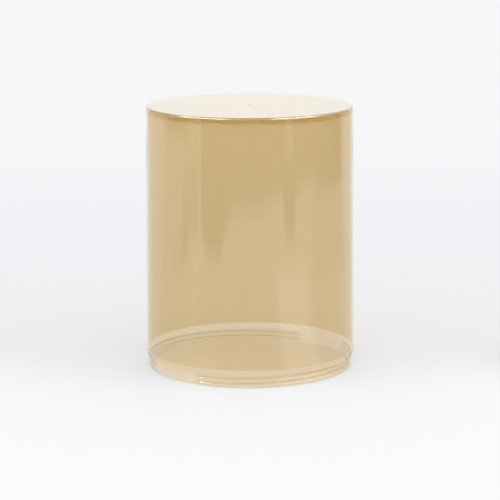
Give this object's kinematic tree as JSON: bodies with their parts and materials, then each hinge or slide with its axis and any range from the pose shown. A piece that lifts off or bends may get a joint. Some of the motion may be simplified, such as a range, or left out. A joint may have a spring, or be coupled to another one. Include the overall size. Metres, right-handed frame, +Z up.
{
  "type": "screw-neck jar",
  "caption": "Wide straight-sided tinted clear jar standing on its open screw neck, with a ribbed screw lid and sealing liner laid beside it.",
  "frame": {"origin": "centre of the jar's mouth, on the plane that the jar stands on", "axes": "+Z up along the jar's axis, from the mouth to the closed end; +X towards the lid"},
  "size_m": [0.2878, 0.1046, 0.1285],
  "materials": {
    "jar_plastic": "clear, tinted tan, polished",
    "lid_plastic": "satin, ivory",
    "liner_foam": "matt closed-cell foam"
  },
  "bodies": {
    "jar": {"jar": "jar_plastic"},
    "lid": {"screw_lid": "lid_plastic", "lid_liner": "liner_foam"}
  },
  "joints": [
    {"name": "lid_lift", "type": "slide", "parent": "jar", "child": "lid", "axis": [0, 0, 1], "range_m": [0, 0.15]}
  ]
}
